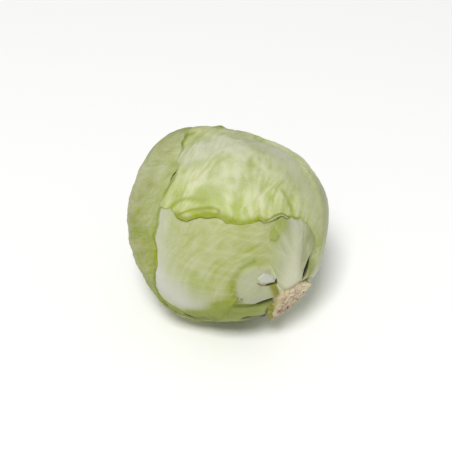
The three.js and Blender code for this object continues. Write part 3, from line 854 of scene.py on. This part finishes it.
def leafSkin(leaf):
    material, tree = newMaterial(leaf["name"] + "Skin")
    where = addNode(tree, "TexCoord", {}, "Object")
    mottle = addNode(tree, "TexNoise", {
        "Scale": skin["mottle"], "Detail": 4, "Roughness": 0.6, "Vector": where,
    })
    grain = addNode(tree, "TexNoise", {
        "Scale": skin["grain"], "Detail": 3, "Roughness": 0.6, "Vector": where,
    })
    cells = addNode(tree, "TexVoronoi", {
        "feature": "DISTANCE_TO_EDGE", "Scale": skin["cells"], "Vector": where,
    })
    net = addNode(tree, "MapRange", {
        "From Max": skin["netWidth"], "To Min": 1, "To Max": 0, "Value": cells,
    })
    patch = addNode(tree, "MapRange", {
        "From Min": noiseLow, "From Max": noiseHigh, "To Min": -skin["mottled"],
        "To Max": skin["mottled"], "Value": mottle,
    })
    pale = addNode(tree, "Attribute", {"attribute_name": "pale"}, "Fac")
    pale = addNode(tree, "Math", {"operation": "ADD", 0: pale, 1: patch})
    pale = addNode(tree, "Math", {
        "operation": "MULTIPLY_ADD", "use_clamp": True, 0: net, 1: skin["netted"], 2: pale,
    })

    # strokes along the veins, noise that is drawn out the way the leaf grew
    running = addNode(tree, "Attribute", {"attribute_name": "running"}, "Vector")
    running = addNode(tree, "VectorMath", {"operation": "MULTIPLY", 0: running, 1: skin["hatch"]})
    strokes = addNode(tree, "TexNoise", {
        "Scale": 1, "Detail": 2, "Roughness": 0.6, "Distortion": 0.3, "Vector": running,
    })
    hatching = addNode(tree, "MapRange", {
        "From Min": noiseLow, "From Max": noiseHigh, "To Min": -1, "To Max": 1, "Value": strokes,
    })
    depth = addNode(tree, "Attribute", {"attribute_name": "strokes"}, "Fac")
    hatching = addNode(tree, "Math", {"operation": "MULTIPLY", 0: hatching, 1: depth})

    colour = addNode(tree, "Mix", {
        "data_type": "RGBA", 0: pale, 6: linear(leaf["green"]), 7: linear(leaf["pale"]),
    }, 2)
    for tint in tints[1:]:
        if tint == "brown":  # damage lies over the strokes, so they come before it
            richer, lighter = (
                addNode(tree, "Math", {"operation": "MULTIPLY_ADD", 0: hatching, 1: share, 2: 1})
                for share in (skin["strokesRicher"], skin["strokesLighter"])
            )
            colour = addNode(tree, "HueSaturation", {
                "Saturation": richer, "Value": lighter, "Color": colour,
            })
        share = addNode(tree, "Attribute", {"attribute_name": tint}, "Fac")
        over = linear(leaf.get(tint, skin[tint]))
        colour = addNode(tree, "Mix", {"data_type": "RGBA", 0: share, 6: colour, 7: over}, 2)

    height = grain
    for layer, rise in ((net, skin["netHeight"]), (strokes, skin["strokesHeight"])):
        height = addNode(tree, "Math", {"operation": "MULTIPLY_ADD", 0: layer, 1: rise, 2: height})
    bump = addNode(tree, "Bump", {
        "Strength": skin["bump"], "Distance": skin["bumpDistance"], "Height": height,
    })
    addSurface(tree, skin, colour, bump)
    return material


packedHead = {
    "name": "packedHead", "subdivisions": 6, "sunk": 0.4, "veinsFrom": (165, -140), "pale": "#cdd2ac",
    "green": "#a9b870", "paleSize": 12, "strokes": 0.4,
}


def addPackedHead():
    bpy.ops.object.select_all(action="DESELECT")
    bpy.ops.mesh.primitive_ico_sphere_add(subdivisions=packedHead["subdivisions"], radius=1)
    piece = bpy.context.object
    piece.name = piece.data.name = packedHead["name"]
    directions = pointsOf(piece)
    directions /= np.linalg.norm(directions, axis=1, keepdims=True)
    radius = stackAt(directions, -1)[0] - packedHead["sunk"]
    points = (directions * radius[:, None] + headMiddle) * metres
    piece.data.vertices.foreach_set("co", points.ravel())
    onChart = toChart(chartAt(packedHead["veinsFrom"]), directions)
    running = np.c_[onChart[:, ::-1], np.zeros(len(directions))]
    pale = 0.5 + noiseAt(directions * head["radius"], packedHead["paleSize"], 90)
    addTints(piece, {"pale": pale, "strokes": packedHead["strokes"]}, running)
    bpy.ops.object.shade_smooth()
    finish(piece, "packed_head")
    piece.data.materials.append(leafSkin(packedHead))
    print("packed head")


# Swells of the rim are given as degrees round, width in degrees and millimetres outwards; its
# sags the same way, towards the head, where petioles of outer leaves were cut away with it. Pink
# and green places are given so too, with a strength. Lobes are waves round the rim, each with a
# count, a turn and a share; lumps of the cut face have a size and a share. Sizes of tints are those
# of their patches.
stalk = {
    "name": "cutStalk", "cut": 82.5, "root": 58, "angle": 14.9, "sides": 144, "rings": 28,
    "flat": 0.72, "flatRadius": 19.5, "rim": 22,
    "swells": [(180, 50, 5), (-50, 35, -4.5), (35, 24, 8), (105, 30, 1.5)],
    "sags": [(-45, 30, 2.2), (10, 30, 2), (45, 24, 4.5), (80, 28, 4.5), (180, 60, 1)],
    "sagEverywhere": 0.7, "sagPower": 1.4,
    "lobeHeight": 0.03, "lobes": [(5, 0.6, 1), (8, -1.1, 0.6), (13, 0, 0.4)],
    "lumpHeight": 1.3, "lumpsDown": 0.3, "lumps": [(7, 1), (3, 0.9), (1.6, 0.5)],
    "pinkFace": [(165, 55, 0.9)], "pinkRim": [(28, 36, 1.2), (75, 30, -0.5)],
    "pinkPlain": 0.25, "pinkVaries": 1.4, "pinkSize": 6,
    "skinShare": 0.8, "skinPlain": 0.9, "skinSize": 5,
    "greenRim": [(100, 38, 1.2)], "greenSize": 3,
}


def roundIt(bumps, around):
    total = np.zeros(len(around))
    for at, width, height in bumps:
        total += height * np.exp(-((((around - at + 180) % 360 - 180) / width) ** 2))
    return total


def addStalk():
    bpy.ops.object.select_all(action="DESELECT")
    reach = stalk["cut"] - stalk["root"]
    rootRadius = math.tan(math.radians(stalk["angle"])) * stalk["root"]
    bpy.ops.mesh.primitive_cone_add(
        vertices=stalk["sides"], depth=reach, radius1=rootRadius, radius2=stalk["rim"]
    )
    piece = bpy.context.object
    piece.name = piece.data.name = stalk["name"]
    bpy.ops.object.mode_set(mode="EDIT")
    bpy.ops.mesh.select_all(action="DESELECT")
    bpy.ops.object.mode_set(mode="OBJECT")
    for face in piece.data.polygons:
        face.select = face.normal.z > 0.9
    bpy.ops.object.mode_set(mode="EDIT")
    for _ in range(stalk["rings"]):
        bpy.ops.mesh.inset(thickness=stalk["rim"] / (stalk["rings"] + 1))
    bpy.ops.mesh.poke()
    bpy.ops.object.mode_set(mode="OBJECT")

    # the cut face is shaped round the stalk's axis, in rings from its middle to its rim
    spots = pointsOf(piece)
    onCut = spots[:, 2] > 0
    turn = np.arctan2(spots[:, 1], spots[:, 0])
    around = np.degrees(turn)
    part = np.where(onCut, np.hypot(spots[:, 0], spots[:, 1]) / stalk["rim"], 0)
    outer = np.clip((part - stalk["flat"]) / (1 - stalk["flat"]), 0, 1)
    lobes = sum(share * np.cos(count * turn + start) for count, start, share in stalk["lobes"])
    rim = stalk["rim"] * (1 + stalk["lobeHeight"] * lobes) + roundIt(stalk["swells"], around)
    radius = np.minimum(part / stalk["flat"], 1) * stalk["flatRadius"]
    radius = np.where(onCut, radius + outer * (rim - stalk["flatRadius"]), rootRadius)
    sag = outer ** stalk["sagPower"] * (stalk["sagEverywhere"] + roundIt(stalk["sags"], around))
    distance = np.where(onCut, stalk["cut"] - sag, stalk["root"])
    across = np.cos(turn)[:, None] * aboveStalk + np.sin(turn)[:, None] * besideStalk
    points = radius[:, None] * across + distance[:, None] * alongStalk
    lumps = sum(
        share * noiseAt(points, size, seed) for seed, (size, share) in enumerate(stalk["lumps"], 61)
    )
    points += (onCut * stalk["lumpHeight"] * (lumps - stalk["lumpsDown"]))[:, None] * alongStalk
    piece.data.vertices.foreach_set("co", ((points + headMiddle) * metres).ravel())

    pink = stalk["pinkPlain"] + stalk["pinkVaries"] * noiseAt(points, stalk["pinkSize"], 65)
    pink = pink + roundIt(stalk["pinkFace"], around) + roundIt(stalk["pinkRim"], around) * outer
    skinned = np.where(onCut, stalk["skinShare"] * smooth(outer, 0.25, 1), 1)
    greened = np.where(onCut, smooth(outer, 0.1, 0.6), 1) * roundIt(stalk["greenRim"], around)
    addShares(piece, {
        "pores": 1 - smooth(outer, 0.1, 0.7),
        "pink": pink,
        "skin": skinned * (stalk["skinPlain"] + noiseAt(points, stalk["skinSize"], 66)),
        "green": greened * (1 + noiseAt(points, stalk["greenSize"], 67)),
    })
    bpy.ops.object.shade_smooth()
    finish(piece, "cut_stalk")
    piece.data.materials.append(stalkFlesh())
    print("cut stalk")


# Cut cabbage stalk, dried where the knife went through: cream corky flesh gone pink and brown in
# the air, with dark pores where the bundles end, under a thin yellow green skin.
flesh = {
    "cream": "#e6dab8", "pink": "#a98b74", "skin": "#a89a72", "green": "#7f8022",
    "crack": "#6e5030", "pore": "#2e1e10",
    "pores": 230, "stain": 190, "cracks": 260, "grain": 900,  # counts a metre: 4, 5, 4 and 1 mm
    "leastStain": 0.45, "stainFrom": (0.42, 0.62), "poresFrom": (0.48, 0.54),  # in stain noise
    "crackShare": 0.85, "crackFrom": (0.45, 0.36), "poreShare": 0.8, "poreFrom": (0.16, 0.34),
    "bump": 0.7, "bumpDistance": 0.0008, "hollowDepth": -0.9,
    "roughness": 0.75, "ior": 1.45, "throughLight": 0.15, "throughDepth": 0.002,
    "throughColour": (1, 0.7, 0.4),
}


def stalkFlesh():
    material, tree = newMaterial("cutStalkFlesh")
    where = addNode(tree, "TexCoord", {}, "Object")
    stain = addNode(tree, "TexNoise", {
        "Scale": flesh["stain"], "Detail": 4, "Roughness": 0.65, "Vector": where,
    })
    grain = addNode(tree, "TexNoise", {
        "Scale": flesh["grain"], "Detail": 3, "Roughness": 0.6, "Vector": where,
    })
    low, high = flesh["stainFrom"]
    spread = addNode(tree, "MapRange", {
        "From Min": low, "From Max": high, "To Min": flesh["leastStain"], "Value": stain,
    })
    colour = linear(flesh["cream"])
    for tint in ("pink", "skin", "green"):
        share = addNode(tree, "Attribute", {"attribute_name": tint}, "Fac")
        if tint != "green":
            share = addNode(tree, "Math", {"operation": "MULTIPLY", 0: share, 1: spread})
        over = linear(flesh[tint])
        colour = addNode(tree, "Mix", {"data_type": "RGBA", 0: share, 6: colour, 7: over}, 2)

    # cracks and pores only open on the flat of the cut, and pores only where it is stained
    opening = addNode(tree, "Attribute", {"attribute_name": "pores"}, "Fac")
    cracks = addNode(tree, "TexNoise", {
        "Scale": flesh["cracks"], "Detail": 3, "Roughness": 0.7, "Distortion": 0.6, "Vector": where,
    })
    low, high = flesh["crackFrom"]
    crack = addNode(tree, "MapRange", {
        "From Min": low, "From Max": high, "To Max": flesh["crackShare"], "Value": cracks,
    })
    crack = addNode(tree, "Math", {"operation": "MULTIPLY", 0: crack, 1: opening})
    pores = addNode(tree, "TexVoronoi", {"Scale": flesh["pores"], "Vector": where})
    low, high = flesh["poreFrom"]
    pore = addNode(tree, "MapRange", {
        "From Min": low, "From Max": high, "To Min": flesh["poreShare"], "To Max": 0, "Value": pores,
    })
    low, high = flesh["poresFrom"]
    stained = addNode(tree, "MapRange", {"From Min": low, "From Max": high, "Value": stain})
    opening = addNode(tree, "Math", {"operation": "MULTIPLY", 0: opening, 1: stained})
    pore = addNode(tree, "Math", {"operation": "MULTIPLY", 0: pore, 1: opening})
    for tint, share in (("crack", crack), ("pore", pore)):
        over = linear(flesh[tint])
        colour = addNode(tree, "Mix", {"data_type": "RGBA", 0: share, 6: colour, 7: over}, 2)

    hollow = addNode(tree, "Math", {"operation": "ADD", 0: pore, 1: crack})
    height = addNode(tree, "Math", {
        "operation": "MULTIPLY_ADD", 0: hollow, 1: flesh["hollowDepth"], 2: grain,
    })
    bump = addNode(tree, "Bump", {
        "Strength": flesh["bump"], "Distance": flesh["bumpDistance"], "Height": height,
    })
    addSurface(tree, flesh, colour, bump)
    return material


addPackedHead()
addStalk()
for index in range(len(leaves)):
    addLeaf(index)

# The camera stands at an azimuth and an elevation round its aim, a metre off with a long lens.
# Fill is the light from all round, and key a softbox.
studio = {
    "azimuth": 45, "elevation": 40, "distance": 1, "lens": 98, "sensor": 36,
    "aim": (0.0005, -0.0004, 0.0764),
    "floor": "#fcfcfb", "floorSize": 6, "floorRoughness": 0.9, "fill": 0.41,
    "key": {"place": (1.17, -1.87, 3.81), "aim": (0, 0, 0.06), "size": 1.2, "power": 148},
}

bpy.ops.object.select_all(action="DESELECT")
bpy.ops.mesh.primitive_plane_add(size=studio["floorSize"])
floor = bpy.context.object
floor.name = "floor"
material, tree = newMaterial("paleFloor")
shader = addNode(tree, "BsdfPrincipled", {
    "Base Color": linear(studio["floor"]), "Roughness": studio["floorRoughness"],
})
addNode(tree, "OutputMaterial", {"Surface": shader})
floor.data.materials.append(material)

world = bpy.data.worlds.new("studio")
world.use_nodes = True
background = world.node_tree.nodes["Background"]
background.inputs["Color"].default_value = (1, 1, 1, 1)
background.inputs["Strength"].default_value = studio["fill"]
bpy.context.scene.world = world

key = studio["key"]
bpy.ops.object.light_add(type="AREA", location=key["place"])
lamp = bpy.context.object
lamp.name = "keySoftbox"
lamp.data.size = key["size"]
lamp.data.energy = key["power"]
lamp.rotation_euler = (Vector(key["aim"]) - lamp.location).to_track_quat("-Z", "Y").to_euler()

azimuth, elevation = math.radians(studio["azimuth"]), math.radians(studio["elevation"])
level = math.cos(elevation)
back = Vector((math.sin(azimuth) * level, -math.cos(azimuth) * level, math.sin(elevation)))
bpy.ops.object.camera_add(location=Vector(studio["aim"]) + back * studio["distance"])
camera = bpy.context.object
camera.rotation_euler = (-back).to_track_quat("-Z", "Y").to_euler()
camera.data.lens = studio["lens"]
camera.data.sensor_width = studio["sensor"]
bpy.context.scene.camera = camera
bpy.context.scene.view_settings.view_transform = "Standard"
print("floor, light and camera placed")
